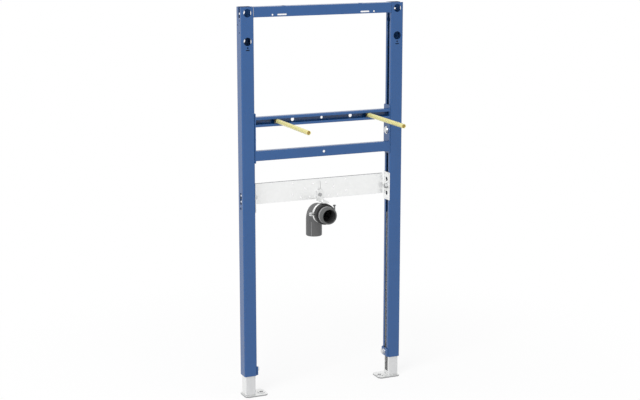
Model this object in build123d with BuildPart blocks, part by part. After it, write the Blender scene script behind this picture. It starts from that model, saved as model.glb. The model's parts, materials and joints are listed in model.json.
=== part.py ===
import os

from build123d import *

# Basin installation frame: two slotted uprights on telescopic feet, three cross rails,
# two sleeved studs for the basin, and a drain plate that carries the waste bend.
# +X right seen from the front, +Y back towards the wall, +Z up, origin on the floor
# midway between the feet. Sizes in millimetres; heights are above the foot of the uprights.

# Uprights and their slot
frame_width = 525
upright_length = 1120
profile = 40
profile_wall = 2
profile_corner = 4
slot_width = 15
bottom_corner = 5
anchor_hole = 24.5
anchor_rod_hole = 14
anchor_heights = (1020, 1103)
mark_dot = 4
mark_dot_height = 1002
mark_line = 11
mark_line_width = 1.8
mark_line_height = 995
entry_hole = 22
entry_hole_height = 1068
web_slot_width = 11
web_slot_length = 37
web_slot_y = -2
web_slot_height = 551.5
web_hole = 9
web_hole_y = -1
web_hole_height = 522
top_notch_width = 12.5
top_notch_depth = 34
top_notch_y = -5
cable_hole = 5
cable_hole_spots = ((-5, 1045), (6.7, 1067.5), (-5, 1080))
back_hole = 6
back_hole_offset = 10.5
back_hole_heights = (539, 557.5, 1083, 1099)

# Top rail
top_rail_height = 30
top_rail_depth = 28
top_rail_wall = 2
top_slot_length = 30
top_slot_width = 5
top_slot_x = 134
top_slot_rise = 5.5
top_dot = 6
top_dot_x = 164
top_flange_slot_width = 12
top_flange_slot_length = 22
top_flange_slot_x = 124

# Basin rail and lower rail, one C section each, held by an end plate at both uprights
rail_height = 30
rail_depth = 20
rail_wall = 2
rail_corner = 3
rail_slot = 14
basin_rail_height = 781.6
rail_spacing = 101.3
rail_hole = 11
rail_hole_x = 95
centre_hole = 8
end_plate = 3
end_plate_corner = 4
end_plate_over = 26.4
end_plate_under = 22.3
end_bolt_drop = 53.6
rail_bolt_head_height = 3.2

# Basin studs
stud_spacing = 300
stud_diameter = 10
stud_reach = 230
stud_nut_width = 18
sleeve_diameter = 13
sleeve_wall = 1.3
sleeve_over_stud = 4

# Hex bolts and slide nuts
bolt_diameter = 10
bolt_head = 17
bolt_head_height = 6.4
washer_diameter = 24
washer = 2
drain_bolt_diameter = 8
drain_bolt_head = 13
drain_bolt_head_height = 5.3
drain_washer = 16
nut_plate = 5
nut_plate_width = 26
nut_plate_height = 18
thread_clearance = 0.1

# Drain plate
drain_sheet = 2.5
drain_drop = 130
drain_panel_tall = 62.5
drain_flange_under = 18
drain_flange_over = 6.5
drain_bend = 9
drain_setback = 34
drain_flange_depth = 38
drain_flange_hole = 13
drain_flange_hole_gap = 44
drain_bolt_rise = 25
drain_bolt_y = -2.5
drain_slot_width = 9
drain_slot_length = 46
tap_hole = 6
tap_hole_spots = ((22, 49), (32, 8), (48, 35), (62, 9), (88, 54), (89, 19))

# Waste bend, seal and pipe clamp
pipe_diameter = 50
pipe_wall = 3
waste_drop = 36
leg_y = 57
leg_length = 83
leg_round = 2.5
pipe_bend = 34
socket_diameter = 64
socket_mouth = 33
socket_back = 17
socket_round = 2
seal_diameter = 52
seal_bore = 40
seal_reach = 28
seal_lip = 3
fit_gap = 0.2
clamp_lining = 5
clamp_lining_lip = 1
clamp_strip = 2
clamp_width = 10
clamp_y = -10.5
clamp_split = 3
clamp_ear = 2.5
clamp_ear_margin = 6
clamp_screw = 6
clamp_screw_offset = 7
clamp_screw_head = 10
clamp_screw_top = 8
clamp_screw_head_height = 4
clamp_screw_rise = 15
clamp_rivet_offset = 5
rivet_neck = 8
rivet_head = 13
rivet_head_height = 2

# Bracket that hangs the clamp on the drain plate
bracket_width = 22
bracket_sheet = 3
bracket_reach = 50
bracket_drop = 5
bracket_bolt_rise = 18
bracket_margin = 16
bracket_corner = 4

# Telescopic feet
foot_extension = 65
foot_tube_length = 527
foot_tube_width = 32
foot_tube_depth = 35
foot_tube_wall = 2
foot_tube_corner = 3
foot_tube_slot = 19
foot_slot_low = 15.5
foot_web = 2.5
foot_plate = 4
foot_plate_length = 74
foot_plate_width = 56
foot_plate_corner = 12
foot_plate_overhang = 20
floor_hole = 12
floor_hole_inset = 40.5
floor_boss = 25
floor_boss_height = 1
pivot_gap = 0.3
pivot_shank = 10
pivot_head = 16
pivot_head_height = 2.5
foot_clamp_height = 16
lock_washer = 16.5
lock_bolt_head = 13
foot_clamp_low = 1
foot_clamp_tall = 27
foot_clamp_bulge = 4.5
foot_clamp_sheet = 2.5
foot_clamp_rim = 6
foot_clamp_corner = 2
foot_clamp_round = 3

# Derived places
half_width = frame_width / 2
inner_face = half_width - profile
upright_x = half_width - profile / 2
front = profile / 2
upright_top = foot_extension + upright_length
rail_length = 2 * (inner_face - end_plate)
stud_x = stud_spacing / 2
lower_rail_height = basin_rail_height - rail_spacing
end_plate_low = lower_rail_height - end_plate_under
end_plate_high = basin_rail_height + end_plate_over
end_bolt_height = basin_rail_height - end_bolt_drop
drain_panel_low = end_plate_low - drain_drop
drain_panel_high = drain_panel_low + drain_panel_tall
drain_flange_low = drain_panel_low - drain_flange_under
drain_flange_high = drain_panel_high + drain_flange_over
drain_bolt_height = drain_panel_low + drain_bolt_rise
bracket_low = drain_panel_low - bracket_drop
waste_height = bracket_low - waste_drop
leg_bottom = waste_height - leg_length
bracket_bolt_height = bracket_low + bracket_bolt_rise
bracket_rise = bracket_bolt_rise + bracket_margin
drain_slot_height = bracket_bolt_height + (drain_slot_length - drain_slot_width) / 2
sides = {"left": -1, "right": 1}

os.makedirs("parts", exist_ok=True)


def level(height):
    """Height above the floor of a height above the foot of the uprights."""
    return foot_extension + height


def keep(block, name):
    """Label a finished piece and write it."""
    block.part.label = name
    export_step(block.part, f"parts/{name}.step")


# Uprights: a C section with return lips, open towards the middle of the frame
for name, side in sides.items():
    with BuildPart() as upright:
        with BuildSketch(Plane.XY.offset(foot_extension)):
            with Locations((side * upright_x, 0)):
                RectangleRounded(profile, profile, profile_corner)
                bore = profile - 2 * profile_wall
                RectangleRounded(bore, bore, profile_corner - profile_wall, mode=Mode.SUBTRACT)
            with Locations((side * (inner_face + profile_wall / 2), 0)):
                Rectangle(2 * profile_wall, slot_width, mode=Mode.SUBTRACT)
        extrude(amount=upright_length)
        # Rounded lower corners: the front and back walls beside the slot, the web at the back
        with BuildSketch(Plane.XZ.offset(front)) as outline:
            with Locations((side * upright_x, level(upright_length / 2))):
                Rectangle(profile, upright_length)
            outwards = Axis((0, 0, 0), (side, 0, 0))
            fillet(outline.vertices().group_by(Axis.Y)[0].sort_by(outwards)[0], bottom_corner)
        extrude(amount=-profile, mode=Mode.INTERSECT)
        with BuildSketch(Plane.YZ.offset(side * half_width)):
            with Locations((front, foot_extension)):
                Rectangle(2 * bottom_corner, 2 * bottom_corner)
            with Locations((front - bottom_corner, level(bottom_corner))):
                Circle(bottom_corner, mode=Mode.SUBTRACT)
        extrude(amount=-side * profile_corner, mode=Mode.SUBTRACT)
        # Wall anchor holes: wide in the front wall, a rod hole in the back wall
        anchor_spots = [(side * upright_x, level(height)) for height in anchor_heights]
        with BuildSketch(Plane.XZ.offset(front)):
            with Locations(anchor_spots):
                Circle(anchor_hole / 2)
        extrude(amount=-profile / 2, mode=Mode.SUBTRACT)
        with BuildSketch(Plane.XZ.offset(-front)):
            with Locations(anchor_spots):
                Circle(anchor_rod_hole / 2)
        extrude(amount=profile / 2, mode=Mode.SUBTRACT)
        # One-metre mark
        with BuildSketch(Plane.XZ.offset(front)):
            with Locations((side * upright_x, level(mark_dot_height))):
                Circle(mark_dot / 2)
            with Locations((side * upright_x, level(mark_line_height))):
                SlotOverall(mark_line, mark_line_width)
        extrude(amount=-profile_wall, mode=Mode.SUBTRACT)
        # Slots and holes in the outer web
        with BuildSketch(Plane.YZ.offset(side * half_width)):
            with Locations((web_slot_y, level(web_slot_height))):
                SlotOverall(web_slot_length, web_slot_width, rotation=90)
            with Locations((top_notch_y, upright_top)):
                SlotOverall(2 * top_notch_depth, top_notch_width, rotation=90)
            with Locations((web_hole_y, level(web_hole_height))):
                Circle(web_hole / 2)
            with Locations([(y, level(height)) for y, height in cable_hole_spots]):
                Circle(cable_hole / 2)
        extrude(amount=-side * profile_wall, mode=Mode.SUBTRACT)
        # Small holes in the back wall
        with BuildSketch(Plane.XZ.offset(-front)):
            back_hole_x = side * (upright_x + back_hole_offset)
            with Locations([(back_hole_x, level(height)) for height in back_hole_heights]):
                Circle(back_hole / 2)
        extrude(amount=profile_wall, mode=Mode.SUBTRACT)
        # Wider place in the slot where slide nuts go in
        with BuildSketch(Plane.YZ.offset(side * inner_face)):
            with Locations((0, level(entry_hole_height))):
                Circle(entry_hole / 2)
        extrude(amount=side * profile_wall, mode=Mode.SUBTRACT)
    keep(upright, f"{name}_upright")

# Top rail: a U section, closed to the front
with BuildPart() as top_rail:
    with BuildSketch(Plane.YZ.offset(-inner_face)):
        with Locations((top_rail_depth / 2 - front, upright_top - top_rail_height / 2)):
            Rectangle(top_rail_depth, top_rail_height)
        with Locations((top_rail_depth / 2 - front + top_rail_wall, upright_top - top_rail_height / 2)):
            Rectangle(top_rail_depth, top_rail_height - 2 * top_rail_wall, mode=Mode.SUBTRACT)
    extrude(amount=2 * inner_face)
    with BuildSketch(Plane.XZ.offset(front)):
        rail_foot = upright_top - top_rail_height
        with Locations([(side * top_slot_x, rail_foot + top_slot_rise) for side in (-1, 1)]):
            SlotOverall(top_slot_length, top_slot_width)
        with Locations([(side * top_dot_x, rail_foot + top_slot_rise) for side in (-1, 1)]):
            Circle(top_dot / 2)
    extrude(amount=-top_rail_wall, mode=Mode.SUBTRACT)
    with BuildSketch(Plane.XY.offset(upright_top)):
        with Locations([(side * top_flange_slot_x, top_rail_depth / 2 - front) for side in (-1, 1)]):
            SlotOverall(top_flange_slot_length, top_flange_slot_width, rotation=90)
    extrude(amount=-top_rail_wall, mode=Mode.SUBTRACT)
keep(top_rail, "top_rail")

# Basin rail: a C section open to the front, holes through its back wall
rail_y = rail_depth / 2 - front
rail_bore_depth = rail_depth - 2 * rail_wall
rail_bore_height = rail_height - 2 * rail_wall
with BuildPart() as basin_rail:
    with BuildSketch(Plane.YZ.offset(-rail_length / 2)):
        with Locations((rail_y, level(basin_rail_height))):
            RectangleRounded(rail_depth, rail_height, rail_corner)
            RectangleRounded(rail_bore_depth, rail_bore_height, rail_corner - rail_wall, mode=Mode.SUBTRACT)
        with Locations((rail_wall / 2 - front, level(basin_rail_height))):
            Rectangle(2 * rail_wall, rail_slot, mode=Mode.SUBTRACT)
    extrude(amount=rail_length)
    with BuildSketch(Plane.XZ.offset(front - rail_depth)):
        with Locations([(side * rail_hole_x, level(basin_rail_height)) for side in (-1, 1)]):
            Circle(rail_hole / 2)
        with Locations((0, level(basin_rail_height))):
            Circle(centre_hole / 2)
    extrude(amount=rail_wall, mode=Mode.SUBTRACT)
keep(basin_rail, "basin_rail")

# Lower rail: the same section turned round, closed to the front
with BuildPart() as lower_rail:
    with BuildSketch(Plane.YZ.offset(-rail_length / 2)):
        with Locations((rail_y, level(lower_rail_height))):
            RectangleRounded(rail_depth, rail_height, rail_corner)
            RectangleRounded(rail_bore_depth, rail_bore_height, rail_corner - rail_wall, mode=Mode.SUBTRACT)
        with Locations((rail_depth - front - rail_wall / 2, level(lower_rail_height))):
            Rectangle(2 * rail_wall, rail_slot, mode=Mode.SUBTRACT)
    extrude(amount=rail_length)
    with BuildSketch(Plane.XZ.offset(front)):
        with Locations((0, level(lower_rail_height))):
            Circle(centre_hole / 2)
    extrude(amount=-rail_wall, mode=Mode.SUBTRACT)
keep(lower_rail, "lower_rail")

# End plates that join both rails and lie on the uprights
end_plate_middle = (end_plate_low + end_plate_high) / 2
for name, side in sides.items():
    with BuildPart() as end:
        with BuildSketch(Plane.YZ.offset(side * (inner_face - end_plate))):
            with Locations((0, level(end_plate_middle))):
                RectangleRounded(profile, end_plate_high - end_plate_low, end_plate_corner)
            with Locations((0, level(end_bolt_height))):
                Circle(bolt_diameter / 2 + thread_clearance, mode=Mode.SUBTRACT)
        extrude(amount=side * end_plate)
    keep(end, f"{name}_end_plate")


def slot_bolt(side, seat, y, height, shank, washer_size, head, head_height):
    """Hex bolt and washer whose shank runs outwards from a seat at this distance from the middle."""
    reach = inner_face + profile_wall + nut_plate - seat
    with BuildPart() as bolt:
        with BuildSketch(Plane.YZ.offset(side * seat)):
            with Locations((y, height)):
                Circle(shank / 2)
        extrude(amount=side * reach)
        with BuildSketch(Plane.YZ.offset(side * seat)):
            with Locations((y, height)):
                Circle(washer_size / 2)
        extrude(amount=-side * washer)
        with BuildSketch(Plane.YZ.offset(side * (seat - washer))):
            with Locations((y, height)):
                RegularPolygon(head / 2, 6, major_radius=False, rotation=30)
        extrude(amount=-side * head_height)
    return bolt


def slide_nut(side, face, y, height, shank):
    """Nut plate that lies behind slot lips whose inner face is this far from the middle."""
    with BuildPart() as nut:
        with BuildSketch(Plane.YZ.offset(side * face)):
            with Locations((0, height)):
                Rectangle(nut_plate_width, nut_plate_height)
            with Locations((y, height)):
                Circle(shank / 2 + thread_clearance, mode=Mode.SUBTRACT)
        extrude(amount=side * nut_plate)
    return nut


lip_back = inner_face + profile_wall
for name, side in sides.items():
    height = level(end_bolt_height)
    seat = inner_face - end_plate
    rail_bolt = slot_bolt(
        side,
        seat,
        0,
        height,
        bolt_diameter,
        washer_diameter,
        bolt_head,
        rail_bolt_head_height,
    )
    keep(rail_bolt, f"{name}_rail_bolt")
    keep(slide_nut(side, lip_back, 0, height, bolt_diameter), f"{name}_rail_nut")

# Basin studs in their protective sleeves, each screwed into a slide nut in the basin rail
nut_front = rail_wall - front
stud_back = rail_depth - rail_wall - front
stud_front = -front - stud_reach
for name, side in sides.items():
    centre = (side * stud_x, level(basin_rail_height))
    with BuildPart() as stud_nut:
        with BuildSketch(Plane.XZ.offset(-nut_front)):
            with Locations(centre):
                Rectangle(stud_nut_width, rail_bore_height - 2 * rail_corner)
                Circle(stud_diameter / 2 + thread_clearance, mode=Mode.SUBTRACT)
        extrude(amount=-nut_plate)
    keep(stud_nut, f"{name}_stud_nut")
    with BuildPart() as stud:
        with BuildSketch(Plane.XZ.offset(-stud_back)):
            with Locations(centre):
                Circle(stud_diameter / 2)
        extrude(amount=stud_back - stud_front)
    keep(stud, f"{name}_basin_stud")
    with BuildPart() as sleeve:
        with BuildSketch(Plane.XZ.offset(front + fit_gap)):
            with Locations(centre):
                Circle(sleeve_diameter / 2)
                Circle(sleeve_diameter / 2 - sleeve_wall, mode=Mode.SUBTRACT)
        extrude(amount=stud_reach + sleeve_over_stud - fit_gap)
    keep(sleeve, f"{name}_stud_sleeve")

# Drain plate: one bent sheet, its flanges flat on the uprights
panel_front = drain_setback - front
sheet_x = inner_face - drain_sheet / 2
sheet_y = panel_front + drain_sheet / 2
bend_start = sheet_y - drain_bend
with BuildPart() as drain_plate:
    with BuildSketch(Plane.XY.offset(level(drain_panel_low))):
        with BuildLine() as path:
            FilletPolyline(
                (-sheet_x, -front),
                (-sheet_x, sheet_y),
                (sheet_x, sheet_y),
                (sheet_x, -front),
                radius=drain_bend,
            )
        trace(path.line, line_width=drain_sheet)
    extrude(amount=drain_panel_high - drain_panel_low)
    # Taller flanges, notched behind where the panel bends away
    for side in (-1, 1):
        flange_middle = level((drain_flange_low + drain_flange_high) / 2)
        panel_middle = level((drain_panel_low + drain_panel_high) / 2)
        with BuildSketch(Plane.YZ.offset(side * (inner_face - drain_sheet))):
            with Locations((drain_flange_depth / 2 - front, flange_middle)):
                Rectangle(drain_flange_depth, drain_flange_high - drain_flange_low)
            with Locations((bend_start, panel_middle)):
                Rectangle(
                    drain_flange_depth,
                    drain_panel_high - drain_panel_low,
                    align=(Align.MIN, Align.CENTER),
                    mode=Mode.SUBTRACT,
                )
        extrude(amount=side * drain_sheet)
    # Flange holes, above and below the middle bolt
    with BuildSketch(Plane.YZ.offset(-inner_face)):
        with Locations((drain_bolt_y, level(drain_bolt_height))):
            Circle(drain_bolt_diameter / 2 + thread_clearance)
            with GridLocations(0, drain_flange_hole_gap, 1, 2):
                Circle(drain_flange_hole / 2)
    extrude(amount=2 * inner_face, mode=Mode.SUBTRACT)
    # Slot for the bracket bolt and fixing holes for stop valves
    with BuildSketch(Plane.XZ.offset(-panel_front)):
        with Locations((0, level(drain_slot_height))):
            SlotOverall(drain_slot_length, drain_slot_width, rotation=90)
        panel_foot = level(drain_panel_low)
        with Locations([(side * x, panel_foot + rise) for x, rise in tap_hole_spots for side in (-1, 1)]):
            Circle(tap_hole / 2)
    extrude(amount=-drain_sheet, mode=Mode.SUBTRACT)
keep(drain_plate, "drain_plate")

for name, side in sides.items():
    height = level(drain_bolt_height)
    seat = inner_face - drain_sheet
    drain_bolt = slot_bolt(
        side,
        seat,
        drain_bolt_y,
        height,
        drain_bolt_diameter,
        drain_washer,
        drain_bolt_head,
        drain_bolt_head_height,
    )
    keep(drain_bolt, f"{name}_drain_bolt")
    keep(slide_nut(side, lip_back, drain_bolt_y, height, drain_bolt_diameter), f"{name}_drain_nut")

# Bracket: an L strip bolted to the front of the drain plate, reaching forward over the bend
bracket_front = panel_front - bracket_sheet
with BuildPart() as bracket:
    with BuildSketch(Plane.YZ.offset(-bracket_width / 2)):
        with BuildLine():
            Polyline(
                (panel_front, level(bracket_low + bracket_rise)),
                (panel_front, level(bracket_low)),
                (panel_front - bracket_reach, level(bracket_low)),
                (panel_front - bracket_reach, level(bracket_low + bracket_sheet)),
                (bracket_front, level(bracket_low + bracket_sheet)),
                (bracket_front, level(bracket_low + bracket_rise)),
                close=True,
            )
        make_face()
    extrude(amount=bracket_width)
    fillet(bracket.edges().filter_by(Axis.Z).group_by(Axis.Y)[0], bracket_corner)
    fillet(bracket.edges().filter_by(Axis.Y).group_by(Axis.Z)[-1], bracket_corner)
    with BuildSketch(Plane.XZ.offset(-panel_front)):
        with Locations((0, level(bracket_bolt_height))):
            Circle(clamp_screw / 2 + thread_clearance)
    extrude(amount=bracket_sheet, mode=Mode.SUBTRACT)
    with BuildSketch(Plane.XY.offset(level(bracket_low))):
        with Locations((0, clamp_y)):
            Circle(rivet_neck / 2 + thread_clearance)
    extrude(amount=bracket_sheet, mode=Mode.SUBTRACT)
keep(bracket, "bend_bracket")

with BuildPart() as bracket_bolt:
    with BuildSketch(Plane.XZ.offset(-bracket_front)):
        with Locations((0, level(bracket_bolt_height))):
            RegularPolygon(clamp_screw_head / 2, 6, major_radius=False)
    extrude(amount=clamp_screw_head_height)
    with BuildSketch(Plane.XZ.offset(-bracket_front)):
        with Locations((0, level(bracket_bolt_height))):
            Circle(clamp_screw / 2)
    extrude(amount=-(bracket_sheet + drain_sheet))
    with BuildSketch(Plane.XZ.offset(-panel_front - drain_sheet)):
        with Locations((0, level(bracket_bolt_height))):
            Circle(washer_diameter / 2)
    extrude(amount=-clamp_screw_head_height)
keep(bracket_bolt, "bracket_bolt")

# Waste bend: a pipe elbow that turns down behind the frame
pipe_r = pipe_diameter / 2
socket_r = socket_diameter / 2
bend_z = level(waste_height)
turn_y = leg_y - pipe_bend
pipe_end = socket_back + pipe_wall


def is_socket_rim(edge):
    """Whether an edge is one of the two outer rims of the collar."""
    return abs(edge.radius - socket_r) < fit_gap / 2


with BuildPart() as waste_bend:
    with BuildSketch(Plane.XZ.offset(pipe_end)):
        with Locations((0, bend_z)):
            Circle(pipe_r)
            Circle(pipe_r - pipe_wall, mode=Mode.SUBTRACT)
    extrude(amount=-(pipe_end + turn_y))
    with BuildSketch(Plane.XZ.offset(-turn_y)):
        with Locations((0, bend_z)):
            Circle(pipe_r)
            Circle(pipe_r - pipe_wall, mode=Mode.SUBTRACT)
    revolve(axis=Axis((0, turn_y, bend_z - pipe_bend), (-1, 0, 0)), revolution_arc=90)
    with BuildSketch(Plane.XY.offset(level(leg_bottom))):
        with Locations((0, leg_y)):
            Circle(pipe_r)
            Circle(pipe_r - pipe_wall, mode=Mode.SUBTRACT)
    extrude(amount=bend_z - pipe_bend - level(leg_bottom))
    # Rounded rim of the lower end
    fillet(waste_bend.faces().sort_by(Axis.Z)[0].outer_wire().edges(), leg_round)
keep(waste_bend, "waste_bend")

# Collar over the front end of the bend, which holds the seal
with BuildPart() as collar:
    with BuildSketch(Plane.XZ.offset(socket_back)):
        with Locations((0, bend_z)):
            Circle(socket_r)
            Circle(pipe_r + fit_gap, mode=Mode.SUBTRACT)
    extrude(amount=pipe_wall)
    with BuildSketch(Plane.XZ.offset(pipe_end)):
        with Locations((0, bend_z)):
            Circle(socket_r)
            Circle(seal_diameter / 2 + fit_gap, mode=Mode.SUBTRACT)
    extrude(amount=socket_mouth - pipe_end)
    fillet(collar.edges().filter_by(GeomType.CIRCLE).filter_by(is_socket_rim), socket_round)
keep(collar, "waste_collar")

# Rubber seal in the collar, which takes the outlet pipe of a trap
seal_back = pipe_end + fit_gap
with BuildPart() as waste_seal:
    with BuildSketch(Plane.XZ.offset(seal_back)):
        with Locations((0, bend_z)):
            Circle(seal_diameter / 2)
            Circle(seal_bore / 2, mode=Mode.SUBTRACT)
    extrude(amount=socket_mouth + seal_reach - seal_back)
    chamfer(waste_seal.faces().sort_by(Axis.Y)[0].edges().sort_by(SortBy.LENGTH)[0], seal_lip)
keep(waste_seal, "waste_seal")

# Pipe clamp: rubber lining, two steel halves with ears, a rivet on the left and a screw on the right
lining_r = pipe_r + fit_gap
strip_r = lining_r + clamp_lining
clamp_r = strip_r + clamp_strip
with BuildPart() as lining:
    with BuildSketch(Plane.XZ.offset(-clamp_y)):
        with Locations((0, bend_z)):
            Circle(strip_r - fit_gap)
            Circle(lining_r, mode=Mode.SUBTRACT)
    extrude(amount=clamp_width / 2 + clamp_lining_lip, both=True)
keep(lining, "clamp_lining")

rivet_x = -(clamp_r + clamp_rivet_offset)
screw_x = clamp_r + clamp_screw_offset
ear_span = screw_x - rivet_x + 2 * clamp_ear_margin
ear_middle = (screw_x + rivet_x) / 2
for name, way in {"upper": 1, "lower": -1}.items():
    ear_edge = bend_z + way * clamp_split / 2
    with BuildPart() as half:
        with BuildSketch(Plane.XZ.offset(-clamp_y)):
            with Locations((0, bend_z)):
                Circle(clamp_r)
            with Locations((ear_middle, ear_edge + way * clamp_ear / 2)):
                Rectangle(ear_span, clamp_ear)
            with Locations((0, bend_z)):
                Circle(strip_r, mode=Mode.SUBTRACT)
            with Locations((ear_middle, ear_edge - way * ear_span / 2)):
                Rectangle(ear_span, ear_span, mode=Mode.SUBTRACT)
        extrude(amount=clamp_width / 2, both=True)
        with BuildSketch(Plane.XY.offset(ear_edge)):
            with Locations((rivet_x, clamp_y), (screw_x, clamp_y)):
                Circle(clamp_screw / 2 + thread_clearance)
        extrude(amount=way * clamp_ear, mode=Mode.SUBTRACT)
        if name == "upper":
            # Boss on the crown, riveted through the bracket
            boss_low = bend_z + strip_r + clamp_strip / 2
            with BuildSketch(Plane.XY.offset(boss_low)):
                with Locations((0, clamp_y)):
                    Circle(clamp_width / 2)
            extrude(amount=level(bracket_low) - boss_low)
            with BuildSketch(Plane.XY.offset(level(bracket_low))):
                with Locations((0, clamp_y)):
                    Circle(rivet_neck / 2)
            extrude(amount=bracket_sheet)
            with BuildSketch(Plane.XY.offset(level(bracket_low + bracket_sheet))):
                with Locations((0, clamp_y)):
                    Circle(rivet_head / 2)
            extrude(amount=rivet_head_height)
    keep(half, f"clamp_{name}_half")

ear_top = bend_z + clamp_split / 2 + clamp_ear
ear_bottom = bend_z - clamp_split / 2 - clamp_ear
with BuildPart() as rivet:
    with BuildSketch(Plane.XY.offset(ear_bottom)):
        with Locations((rivet_x, clamp_y)):
            Circle(clamp_screw / 2)
    extrude(amount=ear_top - ear_bottom)
    for plane, way in ((Plane.XY.offset(ear_top), 1), (Plane.XY.offset(ear_bottom), -1)):
        with BuildSketch(plane):
            with Locations((rivet_x, clamp_y)):
                Circle(clamp_screw_head / 2)
        extrude(amount=way * rivet_head_height)
keep(rivet, "clamp_rivet")

with BuildPart() as screw:
    with BuildSketch(Plane.XY.offset(ear_bottom)):
        with Locations((screw_x, clamp_y)):
            Circle(clamp_screw / 2)
    extrude(amount=ear_top - ear_bottom + clamp_screw_rise)
    with BuildSketch(Plane.XY.offset(ear_top + clamp_screw_rise)):
        with Locations((screw_x, clamp_y)):
            RegularPolygon(clamp_screw_top / 2, 6, major_radius=False)
    extrude(amount=clamp_screw_head_height)
keep(screw, "clamp_screw")

# Feet: a C tube that slides in the upright, over a plate that turns on a pivot
foot_web_low = foot_plate + pivot_gap
tube_inner = upright_x - foot_tube_width / 2
plate_outer = upright_x + foot_plate_overhang
plate_x = plate_outer - foot_plate_length / 2
floor_hole_x = upright_x - floor_hole_inset
for name, side in sides.items():
    with BuildPart() as tube:
        with BuildSketch(Plane.XY.offset(foot_web_low)):
            with Locations((side * upright_x, 0)):
                RectangleRounded(foot_tube_width, foot_tube_depth, foot_tube_corner)
                RectangleRounded(
                    foot_tube_width - 2 * foot_tube_wall,
                    foot_tube_depth - 2 * foot_tube_wall,
                    foot_tube_corner - foot_tube_wall,
                    mode=Mode.SUBTRACT,
                )
        extrude(amount=foot_tube_length)
        # Slot towards the middle of the frame, closed at the shoe
        with BuildSketch(Plane.XY.offset(foot_slot_low)):
            with Locations((side * (tube_inner + foot_tube_wall / 2), 0)):
                Rectangle(2 * foot_tube_wall, foot_tube_slot)
        extrude(amount=foot_tube_length, mode=Mode.SUBTRACT)
        # Bottom web with the pivot hole
        with BuildSketch(Plane.XY.offset(foot_web_low)):
            with Locations((side * upright_x, 0)):
                RectangleRounded(foot_tube_width, foot_tube_depth, foot_tube_corner)
                Circle(pivot_shank / 2 + pivot_gap, mode=Mode.SUBTRACT)
        extrude(amount=foot_web)
    keep(tube, f"{name}_foot_tube")

    with BuildPart() as plate:
        with BuildSketch():
            with Locations((side * plate_x, 0)):
                RectangleRounded(foot_plate_length, foot_plate_width, foot_plate_corner)
            with Locations((side * floor_hole_x, 0)):
                Circle(floor_hole / 2, mode=Mode.SUBTRACT)
            with Locations((side * upright_x, 0)):
                Circle(pivot_shank / 2 + thread_clearance, mode=Mode.SUBTRACT)
        extrude(amount=foot_plate)
        # Embossed ring round the floor hole
        with BuildSketch(Plane.XY.offset(foot_plate)):
            with Locations((side * floor_hole_x, 0)):
                Circle(floor_boss / 2)
                Circle(floor_hole / 2, mode=Mode.SUBTRACT)
        extrude(amount=floor_boss_height)
    keep(plate, f"{name}_foot_plate")

    with BuildPart() as pivot:
        with BuildSketch():
            with Locations((side * upright_x, 0)):
                Circle(pivot_shank / 2)
        extrude(amount=foot_web_low + foot_web + pivot_gap)
        with BuildSketch(Plane.XY.offset(foot_web_low + foot_web + pivot_gap)):
            with Locations((side * upright_x, 0)):
                Circle(pivot_head / 2)
        extrude(amount=pivot_head_height)
    keep(pivot, f"{name}_foot_pivot")

# Foot clamps: a pressed bridge over the slot, a bolt, and a nut inside the foot tube
clamp_z = level(foot_clamp_height)
clamp_middle = level(foot_clamp_low + foot_clamp_tall / 2)
for name, side in sides.items():
    with BuildPart() as bridge:
        with BuildSketch(Plane.YZ.offset(side * inner_face)):
            with Locations((0, clamp_middle)):
                RectangleRounded(profile, foot_clamp_tall, foot_clamp_corner)
        extrude(amount=-side * foot_clamp_bulge)
        outwards = Axis((0, 0, 0), (side, 0, 0))
        fillet(bridge.faces().sort_by(outwards)[0].edges(), foot_clamp_round)
        with BuildSketch(Plane.YZ.offset(side * inner_face)):
            with Locations((0, clamp_middle)):
                Rectangle(profile - 2 * foot_clamp_rim, foot_clamp_tall)
        extrude(amount=-side * (foot_clamp_bulge - foot_clamp_sheet), mode=Mode.SUBTRACT)
        with BuildSketch(Plane.YZ.offset(side * inner_face)):
            with Locations((0, clamp_z)):
                Circle(bolt_diameter / 2 + thread_clearance)
        extrude(amount=-side * foot_clamp_bulge, mode=Mode.SUBTRACT)
    keep(bridge, f"{name}_foot_clamp")

    seat = inner_face - foot_clamp_bulge
    nut_face = tube_inner + foot_tube_wall + pivot_gap
    with BuildPart() as lock_bolt:
        with BuildSketch(Plane.YZ.offset(side * seat)):
            with Locations((0, clamp_z)):
                Circle(bolt_diameter / 2)
        extrude(amount=side * (nut_face + nut_plate - seat))
        with BuildSketch(Plane.YZ.offset(side * seat)):
            with Locations((0, clamp_z)):
                Circle(lock_washer / 2)
        extrude(amount=-side * washer)
        with BuildSketch(Plane.YZ.offset(side * (seat - washer))):
            with Locations((0, clamp_z)):
                RegularPolygon(lock_bolt_head / 2, 6, major_radius=False)
        extrude(amount=-side * bolt_head_height)
    keep(lock_bolt, f"{name}_lock_bolt")
    keep(slide_nut(side, nut_face, 0, clamp_z, bolt_diameter), f"{name}_lock_nut")
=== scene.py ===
import json
import math

import bmesh
import bpy
from mathutils import Matrix, Vector


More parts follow.
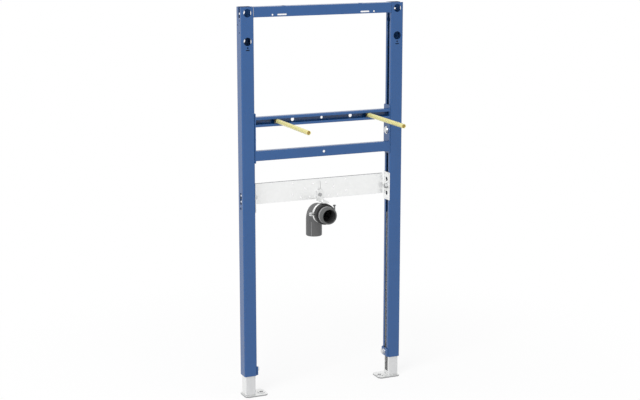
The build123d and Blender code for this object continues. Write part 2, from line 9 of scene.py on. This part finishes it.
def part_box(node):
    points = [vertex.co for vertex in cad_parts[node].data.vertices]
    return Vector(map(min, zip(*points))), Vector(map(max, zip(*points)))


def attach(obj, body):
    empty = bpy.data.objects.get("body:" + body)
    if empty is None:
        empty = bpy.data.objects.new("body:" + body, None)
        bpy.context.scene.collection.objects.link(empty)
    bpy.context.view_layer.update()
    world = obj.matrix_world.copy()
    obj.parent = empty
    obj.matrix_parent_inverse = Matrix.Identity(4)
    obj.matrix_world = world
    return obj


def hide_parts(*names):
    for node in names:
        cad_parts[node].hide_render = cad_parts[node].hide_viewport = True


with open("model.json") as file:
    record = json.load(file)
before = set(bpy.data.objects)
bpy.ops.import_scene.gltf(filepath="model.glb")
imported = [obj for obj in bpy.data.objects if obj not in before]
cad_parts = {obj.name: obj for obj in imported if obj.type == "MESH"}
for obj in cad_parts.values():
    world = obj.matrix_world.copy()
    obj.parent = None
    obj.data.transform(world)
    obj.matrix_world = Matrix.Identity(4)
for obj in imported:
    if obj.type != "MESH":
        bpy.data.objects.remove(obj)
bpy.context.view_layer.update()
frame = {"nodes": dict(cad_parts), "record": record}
nodes = frame["nodes"]
sides = {"left": -1, "right": 1}

# Camera, at the photograph's viewing angle
camera_place = Vector((-1.7423, -3.9739, 1.5172))
camera_target = Vector((-0.0045, 0.0, 0.5914))
camera_lens = 81.76
camera_sensor = 36.0
camera_reach = 100.0

# Light
world_fill = 0.65
key_power = 84.0
key_place = Vector((-2.6, -2.2, 2.9))
key_size = 2.2
top_power = 14.0
top_place = Vector((0.3, -0.4, 3.2))
top_size = 2.0
light_target = Vector((0, 0, 0.6))
floor_size = 24.0
floor_drop = 0.0004
floor_glow = 0.78
floor_fade_start = 0.25
floor_fade_end = 1.4
floor_grey = 0.95

# Threads and heads, in metres
m10_pitch = 0.0015
m8_pitch = 0.00125
m6_pitch = 0.001
thread_depth = 0.55
washer_edge = 0.0003
turn_steps = 36
hex_steps = 48
hex_flat = 0.95
hex_slope = 0.55
same_place = 1e-7


def lathe(mesh, profile, place, steps=turn_steps):
    """Closed body of revolution: profile points are (radius, height) along the Z axis of place."""
    rings = []
    for radius, height in profile:
        if radius < same_place:
            rings.append([mesh.verts.new(place @ Vector((0, 0, height)))])
            continue
        ring = []
        for step in range(steps):
            angle = 2 * math.pi * step / steps
            x, y = radius * math.cos(angle), radius * math.sin(angle)
            ring.append(mesh.verts.new(place @ Vector((x, y, height))))
        rings.append(ring)
    for lower, upper in zip(rings, rings[1:]):
        for step in range(steps):
            after = (step + 1) % steps
            corners = [lower[step % len(lower)], lower[after % len(lower)]]
            corners += [upper[after % len(upper)], upper[step % len(upper)]]
            unique = list(dict.fromkeys(corners))
            if len(unique) > 2:
                mesh.faces.new(unique)


def tube_profile(outer, inner, low, high, edge):
    """Closed section of a tube or washer with a small chamfer on its four edges."""
    return [
        (inner, low + edge),
        (inner + edge, low),
        (outer - edge, low),
        (outer, low + edge),
        (outer, high - edge),
        (outer - edge, high),
        (inner + edge, high),
        (inner, high - edge),
        (inner, low + edge),
    ]


def thread_profile(radius, pitch, low, high):
    """Section of a threaded shank: ridges between two chamfered ends."""
    depth = thread_depth * pitch
    points = [(0, low), (radius - depth, low)]
    height = low + pitch / 2
    while height + pitch <= high:
        points += [(radius - depth, height), (radius, height + pitch / 2)]
        height += pitch
    points += [(radius - depth, high), (0, high)]
    return points


def hex_prism(mesh, across, low, high, place):
    """Hexagon head or nut whose upper corners are turned down to a cone."""
    half = across / 2
    top_radius = hex_flat * half
    bottom, shoulder, top = [], [], []
    for step in range(hex_steps):
        angle = 2 * math.pi * step / hex_steps
        within = (angle + math.pi / 6) % (math.pi / 3) - math.pi / 6
        radius = half / math.cos(within)
        x, y = math.cos(angle), math.sin(angle)
        drop = hex_slope * (radius - top_radius)
        bottom.append(mesh.verts.new(place @ Vector((radius * x, radius * y, low))))
        shoulder.append(mesh.verts.new(place @ Vector((radius * x, radius * y, high - drop))))
        top.append(mesh.verts.new(place @ Vector((top_radius * x, top_radius * y, high))))
    for lower, upper in ((bottom, shoulder), (shoulder, top)):
        for step in range(hex_steps):
            after = (step + 1) % hex_steps
            mesh.faces.new((lower[step], lower[after], upper[after], upper[step]))
    mesh.faces.new(top)
    mesh.faces.new(bottom[::-1])


def along(direction, origin):
    """Placement whose Z axis points along direction, from origin."""
    turn = Vector((0, 0, 1)).rotation_difference(Vector(direction)).to_matrix().to_4x4()
    return Matrix.Translation(origin) @ turn


def add_piece(name, mesh, material, body, replaced=(), smooth_angle=35):
    """Make an object from a bmesh, ride it on a body and give it its finish."""
    bmesh.ops.remove_doubles(mesh, verts=mesh.verts, dist=same_place)
    bmesh.ops.recalc_face_normals(mesh, faces=mesh.faces)
    data = bpy.data.meshes.new(name)
    mesh.to_mesh(data)
    mesh.free()
    piece = bpy.data.objects.new(name, data)
    bpy.context.collection.objects.link(piece)
    data.materials.append(material)
    for face in data.polygons:
        face.use_smooth = True
    data.set_sharp_from_angle(angle=math.radians(smooth_angle))
    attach(piece, body)
    if replaced:
        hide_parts(*replaced)
    return piece


class Graph:
    """Small helper that writes a node material top down."""

    def __init__(self, name):
        self.material = bpy.data.materials.new(name)
        self.material.use_nodes = True
        self.nodes = self.material.node_tree.nodes
        self.links = self.material.node_tree.links
        self.nodes.clear()
        self.output = self.nodes.new("ShaderNodeOutputMaterial")
        self.shader = self.nodes.new("ShaderNodeBsdfPrincipled")
        self.links.new(self.shader.outputs["BSDF"], self.output.inputs["Surface"])
        self.place = self.nodes.new("ShaderNodeTexCoord").outputs["Object"]

    def add(self, kind, **settings):
        node = self.nodes.new(kind)
        for key, value in settings.items():
            setattr(node, key, value)
        return node

    def noise(self, scale, detail=3.0, stretch=None):
        node = self.add("ShaderNodeTexNoise")
        node.inputs["Scale"].default_value = scale
        node.inputs["Detail"].default_value = detail
        node.inputs["Roughness"].default_value = 0.55
        self.links.new(self.stretched(stretch), node.inputs["Vector"])
        return node.outputs["Fac"]

    def cells(self, scale):
        node = self.add("ShaderNodeTexVoronoi")
        node.inputs["Scale"].default_value = scale
        self.links.new(self.place, node.inputs["Vector"])
        return node.outputs["Color"]

    def stretched(self, factors):
        if factors is None:
            return self.place
        node = self.add("ShaderNodeMapping")
        node.inputs["Scale"].default_value = factors
        self.links.new(self.place, node.inputs["Vector"])
        return node.outputs["Vector"]

    def grey(self, colour):
        node = self.add("ShaderNodeSeparateColor")
        self.links.new(colour, node.inputs["Color"])
        return node.outputs["Red"]

    def ramp(self, value, low, high):
        """Spread a 0 to 1 value over the range low to high."""
        node = self.add("ShaderNodeMapRange")
        node.inputs["To Min"].default_value = low
        node.inputs["To Max"].default_value = high
        self.links.new(value, node.inputs["Value"])
        return node.outputs["Result"]

    def blend(self, factor, first, second):
        node = self.add("ShaderNodeMix", data_type="RGBA")
        node.inputs[6].default_value = (*first, 1)
        node.inputs[7].default_value = (*second, 1)
        self.links.new(factor, node.inputs[0])
        return node.outputs[2]

    def colour(self, socket):
        self.links.new(socket, self.shader.inputs["Base Color"])

    def roughness(self, socket):
        self.links.new(socket, self.shader.inputs["Roughness"])

    def relief(self, height, distance, strength, edge_radius=0.0):
        """Bump from a height value, over softly rounded edges."""
        bump = self.add("ShaderNodeBump")
        bump.inputs["Distance"].default_value = distance
        bump.inputs["Strength"].default_value = strength
        self.links.new(height, bump.inputs["Height"])
        if edge_radius:
            bevel = self.add("ShaderNodeBevel", samples=4)
            bevel.inputs["Radius"].default_value = edge_radius
            self.links.new(bevel.outputs["Normal"], bump.inputs["Normal"])
        self.links.new(bump.outputs["Normal"], self.shader.inputs["Normal"])

    def set(self, **values):
        for key, value in values.items():
            self.shader.inputs[key.replace("_", " ")].default_value = value


def blue_paint():
    """Satin powder coat: even blue with a fine orange peel."""
    graph = Graph("blue_paint")
    mottle = graph.noise(38, detail=2)
    graph.colour(graph.blend(mottle, (0.0115, 0.075, 0.236), (0.0140, 0.084, 0.258)))
    graph.roughness(graph.ramp(graph.noise(160), 0.20, 0.28))
    graph.relief(graph.noise(900, detail=1), 0.00012, 0.35, edge_radius=0.0007)
    graph.set(IOR=1.56)
    return graph.material


def galvanised(name, dark, light, metal):
    """Hot-dipped sheet: pale zinc with faint crystals and soft streaks."""
    graph = Graph(name)
    crystal = graph.grey(graph.cells(95))
    streak = graph.noise(60, stretch=(1, 1, 0.25))
    tone = graph.add("ShaderNodeMath", operation="MULTIPLY_ADD")
    graph.links.new(crystal, tone.inputs[0])
    tone.inputs[1].default_value = 0.5
    graph.links.new(graph.ramp(streak, 0.0, 0.5), tone.inputs[2])
    graph.colour(graph.blend(tone.outputs["Value"], dark, light))
    graph.roughness(graph.ramp(crystal, 0.34, 0.46))
    graph.relief(graph.noise(700), 0.00008, 0.25, edge_radius=0.0008)
    graph.set(Metallic=metal, IOR=1.5)
    return graph.material


def plated(name, dark, light):
    """Plating of bolts and nuts, a little cloudy."""
    graph = Graph(name)
    cloud = graph.noise(240)
    graph.colour(graph.blend(cloud, dark, light))
    graph.roughness(graph.ramp(cloud, 0.22, 0.36))
    graph.relief(graph.noise(1500), 0.00004, 0.2)
    graph.set(Metallic=1.0)
    return graph.material


def polyethylene():
    """Moulded polyethylene: dark grey, faintly uneven, with a dull sheen."""
    graph = Graph("polyethylene")
    cloud = graph.noise(70)
    graph.colour(graph.blend(cloud, (0.088, 0.088, 0.089), (0.112, 0.112, 0.113)))
    graph.roughness(graph.ramp(graph.noise(210), 0.36, 0.5))
    graph.relief(graph.noise(1100, detail=2), 0.0001, 0.3)
    graph.set(IOR=1.5)
    return graph.material


def matt(name, dark, light):
    """Matt, powdery surface, for rubber, and for painted highlights and painted shade."""
    graph = Graph(name)
    powder = graph.noise(420)
    graph.colour(graph.blend(powder, dark, light))
    graph.roughness(graph.ramp(powder, 0.55, 0.72))
    graph.relief(graph.noise(1600), 0.00008, 0.3)
    graph.set(IOR=1.45)
    return graph.material


def sleeve_plastic():
    """Thin pale yellow tube, a little waxy."""
    graph = Graph("sleeve_plastic")
    cloud = graph.noise(55, stretch=(1, 0.3, 1))
    graph.colour(graph.blend(cloud, (0.655, 0.59, 0.225), (0.735, 0.685, 0.295)))
    graph.roughness(graph.ramp(graph.noise(180), 0.24, 0.36))
    graph.relief(graph.noise(500), 0.00008, 0.2)
    graph.set(IOR=1.48, Subsurface_Weight=0.15, Subsurface_Scale=0.003)
    graph.shader.inputs["Subsurface Radius"].default_value = (1.0, 0.8, 0.3)
    return graph.material


def passivated():
    """Yellow passivated steel of the studs."""
    graph = Graph("passivated_steel")
    cloud = graph.noise(160)
    graph.colour(graph.blend(cloud, (0.38, 0.25, 0.08), (0.50, 0.34, 0.12)))
    graph.roughness(graph.ramp(cloud, 0.3, 0.45))
    graph.relief(graph.noise(1400), 0.00004, 0.2)
    graph.set(Metallic=0.8)
    return graph.material


materials = {
    "blue_paint": blue_paint(),
    "zinc": galvanised("galvanised", (0.61, 0.615, 0.62), (0.69, 0.695, 0.70), 0.3),
    "sheet": galvanised("galvanised_sheet", (0.87, 0.875, 0.87), (0.935, 0.94, 0.935), 0.75),
    "strip": galvanised("galvanised_strip", (0.79, 0.795, 0.79), (0.86, 0.865, 0.86), 0.75),
    "cut_edge": galvanised("cut_edge", (0.30, 0.305, 0.31), (0.42, 0.425, 0.43), 0.8),
    "plated": plated("zinc_plated", (0.62, 0.63, 0.64), (0.78, 0.79, 0.80)),
    "dull_plated": plated("dull_plated", (0.34, 0.345, 0.35), (0.46, 0.465, 0.47)),
    "dark_steel": plated("dark_steel", (0.10, 0.10, 0.105), (0.17, 0.17, 0.175)),
    "waste_pipe": polyethylene(),
    "rubber": matt("sealing_rubber", (0.022, 0.022, 0.023), (0.034, 0.034, 0.035)),
    "seal": matt("seal_mouth", (0.088, 0.090, 0.089), (0.118, 0.120, 0.119)),
    # painted shade: a dark blue for the faces inside the uprights
    "painted_shade_inside": matt("painted_shade_inside", (0.002, 0.040, 0.140), (0.003, 0.047, 0.160)),
    # painted shade: dark navy for the rims round the metre holes
    "mark": matt("mark_paint", (0.006, 0.020, 0.052), (0.010, 0.028, 0.066)),
    # painted highlight: a lighter grey for the seal's bead and the ridge on the waste bend
    "painted_glint": matt("painted_highlight_matt", (0.26, 0.26, 0.26), (0.32, 0.32, 0.32)),
    "sleeve": sleeve_plastic(),
    "passivated": passivated(),
}

# Finish of the CAD nodes
for subpart in frame["record"]["subparts"]:
    for holder in nodes[subpart["node"]].material_slots:
        holder.material = materials[subpart["material_slot"]]
for name in sides:
    for small in ("rail_nut", "drain_nut", "lock_nut", "foot_pivot"):
        nodes[f"{name}_{small}"].material_slots[0].material = materials["plated"]
    nodes[f"{name}_stud_nut"].material_slots[0].material = materials["dark_steel"]
    nodes[f"{name}_foot_plate"].material_slots[0].material = materials["strip"]
for sheet in ("drain_plate", "clamp_upper_half", "clamp_lower_half"):
    nodes[sheet].material_slots[0].material = materials["sheet"]
nodes["bend_bracket"].material_slots[0].material = materials["strip"]


def refinish(node, finish, is_chosen):
    """Give the faces of a node that are chosen by their normal and their middle another finish."""
    data = nodes[node].data
    data.materials.append(materials[finish])
    for face in data.polygons:
        if is_chosen(face.normal, nodes[node].matrix_world @ face.center):
            face.material_index = len(data.materials) - 1


def is_inside(node, side):
    """Test for faces inside an upright and in its holes, not on its outside, lips or ends; these get the
    painted shade.
    """
    skin, wall = 0.0005, 0.0019
    facing_out, facing_up = 0.6, 0.9
    low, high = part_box(node)
    web, lips = (high.x, low.x) if side > 0 else (low.x, high.x)
    centre = (low + high) / 2

    def test(normal, middle):
        outward = Vector((middle.x - centre.x, middle.y - centre.y, 0)).normalized()
        deep = abs(middle.x - web) > skin and abs(middle.x - lips) > wall
        deep = deep and low.y + skin < middle.y < high.y - skin
        return deep and normal.dot(outward) < facing_out and abs(normal.z) < facing_up

    return test


# Sheared edges are duller than the rolled faces; the webs of the feet get a brighter finish as painted light
# on their sides, and the faces inside the uprights get a dark blue as painted shade
along_axis = 0.9
upright_edge = 0.5
painted_light_side = 0.6
refinish("drain_plate", "cut_edge", lambda normal, middle: abs(normal.z) > along_axis)
refinish("bend_bracket", "zinc", lambda normal, middle: abs(normal.x) > along_axis)
for name, side in sides.items():
    refinish(f"{name}_foot_plate", "cut_edge", lambda normal, middle: abs(normal.z) < upright_edge)
    # painted light: the sides of each foot tube get the brighter strip finish
    refinish(f"{name}_foot_tube", "strip", lambda normal, middle: abs(normal.x) > painted_light_side)
    # painted shade: dark blue on the faces inside each upright and in its holes
    refinish(f"{name}_upright", "painted_shade_inside", is_inside(f"{name}_upright", side))


def axis_ends(node, axis, way):
    """Start and end of a bolt node along an axis, with its head at the end, and its middle line."""
    low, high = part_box(node)
    middle = (low + high) / 2
    start, end = (low[axis], high[axis]) if way > 0 else (high[axis], low[axis])
    origin = middle.copy()
    origin[axis] = start
    direction = Vector((0, 0, 0))
    direction[axis] = way
    return along(direction, origin), abs(end - start)


def dress_bolt(node, axis, way, shank, pitch, head, head_height, washer_size=0.0, finish="plated"):
    """Hex bolt with a threaded shank, a chamfered head and perhaps a washer, in place of its plain node."""
    washer = 0.002 if washer_size else 0.0
    place, length = axis_ends(node, axis, way)
    mesh = bmesh.new()
    head_low = length - head_height
    seat = head_low - washer
    lathe(mesh, thread_profile(shank / 2, pitch, 0, seat + washer / 2), place)
    if washer:
        lathe(mesh, tube_profile(washer_size / 2, shank / 2, seat, head_low, washer_edge), place)
    hex_prism(mesh, head, head_low, length, place)
    add_piece(f"{node}_dressed", mesh, materials[finish], "frame", (node,))


# Bolts
for name, side in sides.items():
    dress_bolt(f"{name}_rail_bolt", 0, -side, 0.010, m10_pitch, 0.017, 0.0032, 0.024)
    dress_bolt(f"{name}_drain_bolt", 0, -side, 0.008, m8_pitch, 0.013, 0.0053, 0.016, "dull_plated")
    dress_bolt(f"{name}_lock_bolt", 0, -side, 0.010, m10_pitch, 0.013, 0.0064, 0.0165)
dress_bolt("clamp_screw", 2, 1, 0.006, m6_pitch, 0.008, 0.004, finish="dull_plated")


def dress_bracket_bolt():
    """Bolt through the drain plate's slot, with a washer and a nut behind."""
    place, length = axis_ends("bracket_bolt", 1, -1)
    shank, across, head_height = 0.003, 0.010, 0.004
    washer, nut_height, washer_top = 0.012, 0.0022, 0.004
    turned = place @ Matrix.Translation((0, 0, nut_height)) @ Matrix.Rotation(math.pi, 4, "X")
    mesh = bmesh.new()
    lathe(mesh, thread_profile(shank, m6_pitch, 0, length - head_height), place)
    lathe(mesh, tube_profile(washer, shank, nut_height, washer_top, washer_edge), place)
    hex_prism(mesh, across, 0, nut_height, turned)
    hex_prism(mesh, across, length - head_height, length, place)
    add_piece("bracket_bolt_dressed", mesh, materials["dull_plated"], "frame", ("bracket_bolt",))


dress_bracket_bolt()


def dress_rivet():
    """Rivet of the pipe clamp, with low domed heads."""
    low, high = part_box("clamp_rivet")
    place = Matrix.Translation(((low.x + high.x) / 2, (low.y + high.y) / 2, low.z))
    length = high.z - low.z
    shank, head, dome = 0.003, 0.005, 0.002
    profile = [(0, 0)]
    for turn in range(1, 7):
        share = turn * math.pi / 12
        profile.append((head * math.sin(share), dome - dome * math.cos(share)))
    profile += [(shank, dome), (shank, length - dome)]
    for turn in range(6):
        share = turn * math.pi / 12
        profile.append((head * math.cos(share), length - dome + dome * math.sin(share)))
    profile += [(0, length)]
    mesh = bmesh.new()
    lathe(mesh, profile, place)
    add_piece("clamp_rivet_dressed", mesh, materials["dull_plated"], "frame", ("clamp_rivet",))


dress_rivet()


def dress_studs():
    """Threaded studs, and the sleeves that cover them."""
    stud, sleeve, sleeve_bore, edge = 0.005, 0.0065, 0.0052, 0.0004
    for name in sides:
        place, length = axis_ends(f"{name}_basin_stud", 1, -1)
        mesh = bmesh.new()
        lathe(mesh, thread_profile(stud, m10_pitch, 0, length), place, steps=24)
        finish = materials["passivated"]
        add_piece(f"{name}_threaded_stud", mesh, finish, "frame", (f"{name}_basin_stud",))
        place, length = axis_ends(f"{name}_stud_sleeve", 1, -1)
        mesh = bmesh.new()
        lathe(mesh, tube_profile(sleeve, sleeve_bore, 0, length, edge), place, steps=40)
        finish = materials["sleeve"]
        add_piece(f"{name}_sleeve_tube", mesh, finish, "frame", (f"{name}_stud_sleeve",))


dress_studs()


def dress_seal():
    """Rubber seal: a bead against the collar, a rounded nose, and three soft lips in its bore."""
    place, length = axis_ends("waste_seal", 1, -1)
    outer, bore, nose, nose_length, mouth_round = 0.026, 0.020, 0.0035, 0.0040, 0.0012
    bead, bead_length, bead_gap = 0.0007, 0.0058, 0.0062
    lip, lip_depth, first_lip, lip_spacing, edge = 0.0022, 0.0012, 0.008, 0.009, 0.0005
    mouth = length
    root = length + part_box("waste_seal")[0].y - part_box("waste_collar")[0].y + bead_gap
    profile = [(bore, 0), (outer - edge, 0), (outer, edge), (outer, root), (outer + bead, root)]
    for turn in range(1, 7):
        share = turn * math.pi / 12
        profile.append((outer + bead * math.cos(share), root + bead_length * math.sin(share)))
    for turn in range(7):
        share = turn * math.pi / 12
        profile.append((outer - nose + nose * math.cos(share), mouth - nose_length * (1 - math.sin(share))))
    profile += [(bore + mouth_round, mouth), (bore, mouth - mouth_round)]
    for count in range(3):
        start = mouth - first_lip - count * lip_spacing
        profile += [(bore, start), (bore - lip_depth, start - lip), (bore, start - 2 * lip)]
    profile += [(bore, 0)]
    mesh = bmesh.new()
    lathe(mesh, profile, place, steps=64)
    seal = add_piece("waste_seal_dressed", mesh, materials["seal"], "frame", ("waste_seal",))
    # The bore and the part inside the collar get the dark rubber; the bead round the seal gets a lighter
    # grey as a painted highlight.
    seal.data.materials.append(materials["rubber"])
    seal.data.materials.append(materials["painted_glint"])
    axis = place.translation
    for face in seal.data.polygons:
        radius = math.hypot(face.center.x - axis.x, face.center.z - axis.z)
        if radius < bore + mouth_round or axis.y - face.center.y < root:
            face.material_index = 1
        elif radius > outer:
            face.material_index = 2


dress_seal()


def weld_beads():
    """Short painted weld beads where the rails meet their end plates and the top rail meets the uprights."""
    bead, ripple, steps, inset = 0.0017, 0.00025, 28, 0.004
    seams = []
    for rail in ("basin_rail", "lower_rail", "top_rail"):
        low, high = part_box(rail)
        for x in (low.x, high.x):
            for z in (low.z, high.z):
                if rail != "top_rail" or z == low.z:
                    seams.append((rail, x, low.y + inset, high.y - inset, z))
    for count, (rail, x, front, back, z) in enumerate(seams):
        length = back - front
        profile = [(0, 0)]
        for step in range(1, steps):
            share = step / steps
            radius = bead * math.sin(math.pi * share) ** 0.35 + ripple * math.sin(step * 2.2)
            profile.append((radius, share * length))
        profile.append((0, length))
        mesh = bmesh.new()
        lathe(mesh, profile, along((0, 1, 0), (x, front, z)), steps=16)
        paint = materials["blue_paint"]
        add_piece(f"{rail}_weld_{count}", mesh, paint, "frame", smooth_angle=60)


def highlight_ridge():
    """Fine ridge down the leg of the waste bend, in a lighter grey as a painted highlight."""
    low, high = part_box("waste_bend")
    radius = (high.x - low.x) / 2
    centre_y = high.y - radius
    turn = math.radians(41.6)
    x, y = -radius * math.sin(turn), centre_y - radius * math.cos(turn)
    ridge, length, taper, inset = 0.0009, 0.046, 0.0006, 0.002
    profile = [(0, 0), (ridge, taper), (ridge, length - taper), (0, length)]
    mesh = bmesh.new()
    lathe(mesh, profile, along((0, 0, 1), (x, y, low.z + inset)), steps=12)
    add_piece("waste_bend_highlight_ridge", mesh, materials["painted_glint"], "frame")


def top_edge_rod():
    """Dark grey rounded strip along the upper edge of the drain plate, in the cut-edge finish."""
    low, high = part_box("drain_plate")
    rod_radius, sheet, bend, flange_over = 0.0015, 0.0025, 0.0103, 0.0065
    length = high.x - low.x - 2 * bend
    profile = [(0, 0), (rod_radius, rod_radius), (rod_radius, length - rod_radius), (0, length)]
    start = (low.x + bend, high.y - sheet, high.z - flange_over)
    mesh = bmesh.new()
    lathe(mesh, profile, along((1, 0, 0), start), steps=12)
    add_piece("drain_plate_edge_rod", mesh, materials["cut_edge"], "frame")


def stadium(length, width, steps=24):
    """Points of an outline with straight sides and round ends, as (across, up) pairs."""
    points = []
    for step in range(steps):
        angle = 2 * math.pi * (step + 0.5) / steps
        shift = math.copysign((length - width) / 2, math.cos(angle))
        points.append((width / 2 * math.cos(angle) + shift, width / 2 * math.sin(angle)))
    return points


def slot_backing():
    """Thin slide strip that closes the drain plate's slot from behind."""
    width, length, thickness, overlap = 0.018, 0.058, 0.0012, 0.008
    low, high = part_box("bracket_bolt")
    middle = (low + high) / 2
    middle.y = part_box("drain_plate")[1].y
    middle.z += length / 2 - overlap
    mesh = bmesh.new()
    loops = []
    for depth in (0, thickness):
        outline = stadium(length, width)
        loops.append([mesh.verts.new(middle + Vector((across, depth, up))) for up, across in outline])
    front, back = loops
    for step in range(len(front)):
        after = (step + 1) % len(front)
        mesh.faces.new((front[step], front[after], back[after], back[step]))
    mesh.faces.new(front)
    mesh.faces.new(back[::-1])
    add_piece("drain_slot_backing", mesh, materials["sheet"], "frame")


def metre_marks():
    """Dark rims round the dot and the line holes that show one metre on the uprights: painted shade that
    widens the dark of the holes.
    """
    proud, sunk, rim = 0.0001, 0.0003, 0.0008
    dot, line, line_width = 0.004, 0.011, 0.0018
    dot_height, line_height = 1.002, 0.995
    for name in sides:
        low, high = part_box(f"{name}_upright")
        mesh = bmesh.new()
        for length, width, height in ((dot, dot, dot_height), (line, line_width, line_height)):
            loops = []
            for wider, depth in ((rim, -proud), (rim, sunk), (0, sunk), (0, -proud)):
                outline = stadium(length + 2 * wider, width + 2 * wider)
                middle = Vector(((low.x + high.x) / 2, low.y + depth, low.z + height))
                loops.append([mesh.verts.new(middle + Vector((across, 0, up))) for across, up in outline])
            for first, second in zip(loops, loops[1:] + loops[:1]):
                for step in range(len(first)):
                    after = (step + 1) % len(first)
                    mesh.faces.new((first[step], first[after], second[after], second[step]))
        add_piece(f"{name}_metre_mark", mesh, materials["mark"], "frame")


weld_beads()
highlight_ridge()
top_edge_rod()
slot_backing()
metre_marks()


def backdrop():
    """Large pale floor that fades to plain white away from the object, and white for reflections."""
    bpy.ops.mesh.primitive_plane_add(size=floor_size, location=(0, 0, -floor_drop))
    floor = bpy.context.object
    floor.name = "floor"
    material = bpy.data.materials.new("floor")
    material.use_nodes = True
    tree = material.node_tree
    tree.nodes.clear()
    output = tree.nodes.new("ShaderNodeOutputMaterial")
    diffuse = tree.nodes.new("ShaderNodeBsdfDiffuse")
    diffuse.inputs["Color"].default_value = (floor_grey, floor_grey, floor_grey, 1)
    glow = tree.nodes.new("ShaderNodeEmission")
    glow.inputs["Color"].default_value = (1, 1, 1, 1)
    place = tree.nodes.new("ShaderNodeTexCoord")
    reach = tree.nodes.new("ShaderNodeVectorMath")
    reach.operation = "LENGTH"
    tree.links.new(place.outputs["Object"], reach.inputs[0])
    fade = tree.nodes.new("ShaderNodeMapRange")
    fade.interpolation_type = "SMOOTHSTEP"
    fade.inputs["From Min"].default_value = floor_fade_start
    fade.inputs["From Max"].default_value = floor_fade_end
    fade.inputs["To Min"].default_value = floor_glow
    tree.links.new(reach.outputs["Value"], fade.inputs["Value"])
    rays = tree.nodes.new("ShaderNodeLightPath")
    seen = tree.nodes.new("ShaderNodeMath")
    seen.operation = "MULTIPLY"
    tree.links.new(rays.outputs["Is Camera Ray"], seen.inputs[0])
    tree.links.new(fade.outputs["Result"], seen.inputs[1])
    mirrored = tree.nodes.new("ShaderNodeMath")
    mirrored.operation = "MAXIMUM"
    tree.links.new(rays.outputs["Is Glossy Ray"], mirrored.inputs[0])
    tree.links.new(rays.outputs["Is Transmission Ray"], mirrored.inputs[1])
    share = tree.nodes.new("ShaderNodeMath")
    share.operation = "MAXIMUM"
    tree.links.new(seen.outputs["Value"], share.inputs[0])
    tree.links.new(mirrored.outputs["Value"], share.inputs[1])
    mix = tree.nodes.new("ShaderNodeMixShader")
    tree.links.new(share.outputs["Value"], mix.inputs["Fac"])
    tree.links.new(diffuse.outputs["BSDF"], mix.inputs[1])
    tree.links.new(glow.outputs["Emission"], mix.inputs[2])
    tree.links.new(mix.outputs["Shader"], output.inputs["Surface"])
    floor.data.materials.append(material)


def surroundings():
    """White world for the eye and for reflections, a softer one for the light itself."""
    world = bpy.data.worlds.new("studio")
    bpy.context.scene.world = world
    world.use_nodes = True
    tree = world.node_tree
    tree.nodes.clear()
    output = tree.nodes.new("ShaderNodeOutputWorld")
    fill = tree.nodes.new("ShaderNodeBackground")
    fill.inputs["Strength"].default_value = world_fill
    white = tree.nodes.new("ShaderNodeBackground")
    white.inputs["Color"].default_value = (1, 1, 1, 1)
    fill.inputs["Color"].default_value = (1, 1, 1, 1)
    rays = tree.nodes.new("ShaderNodeLightPath")
    first = tree.nodes.new("ShaderNodeMath")
    first.operation = "MAXIMUM"
    tree.links.new(rays.outputs["Is Camera Ray"], first.inputs[0])
    tree.links.new(rays.outputs["Is Glossy Ray"], first.inputs[1])
    second = tree.nodes.new("ShaderNodeMath")
    second.operation = "MAXIMUM"
    tree.links.new(first.outputs["Value"], second.inputs[0])
    tree.links.new(rays.outputs["Is Transmission Ray"], second.inputs[1])
    mix = tree.nodes.new("ShaderNodeMixShader")
    tree.links.new(second.outputs["Value"], mix.inputs["Fac"])
    tree.links.new(fill.outputs["Background"], mix.inputs[1])
    tree.links.new(white.outputs["Background"], mix.inputs[2])
    tree.links.new(mix.outputs["Shader"], output.inputs["Surface"])


def area_light(name, place, target, size, power):
    """Square soft light that faces a target."""
    data = bpy.data.lights.new(name, "AREA")
    data.size = size
    data.energy = power
    light = bpy.data.objects.new(name, data)
    light.location = place
    light.rotation_euler = (target - place).to_track_quat("-Z", "Y").to_euler()
    bpy.context.collection.objects.link(light)


def camera():
    """Camera that takes the photograph's view."""
    data = bpy.data.cameras.new("camera")
    data.lens = camera_lens
    data.sensor_width = camera_sensor
    data.sensor_fit = "HORIZONTAL"
    data.clip_end = camera_reach
    eye = bpy.data.objects.new("camera", data)
    eye.location = camera_place
    eye.rotation_euler = (camera_target - camera_place).to_track_quat("-Z", "Y").to_euler()
    bpy.context.collection.objects.link(eye)
    bpy.context.scene.camera = eye


backdrop()
surroundings()
area_light("key", key_place, light_target, key_size, key_power)
area_light("top", top_place, light_target, top_size, top_power)
camera()
bpy.context.scene.view_settings.view_transform = "Standard"
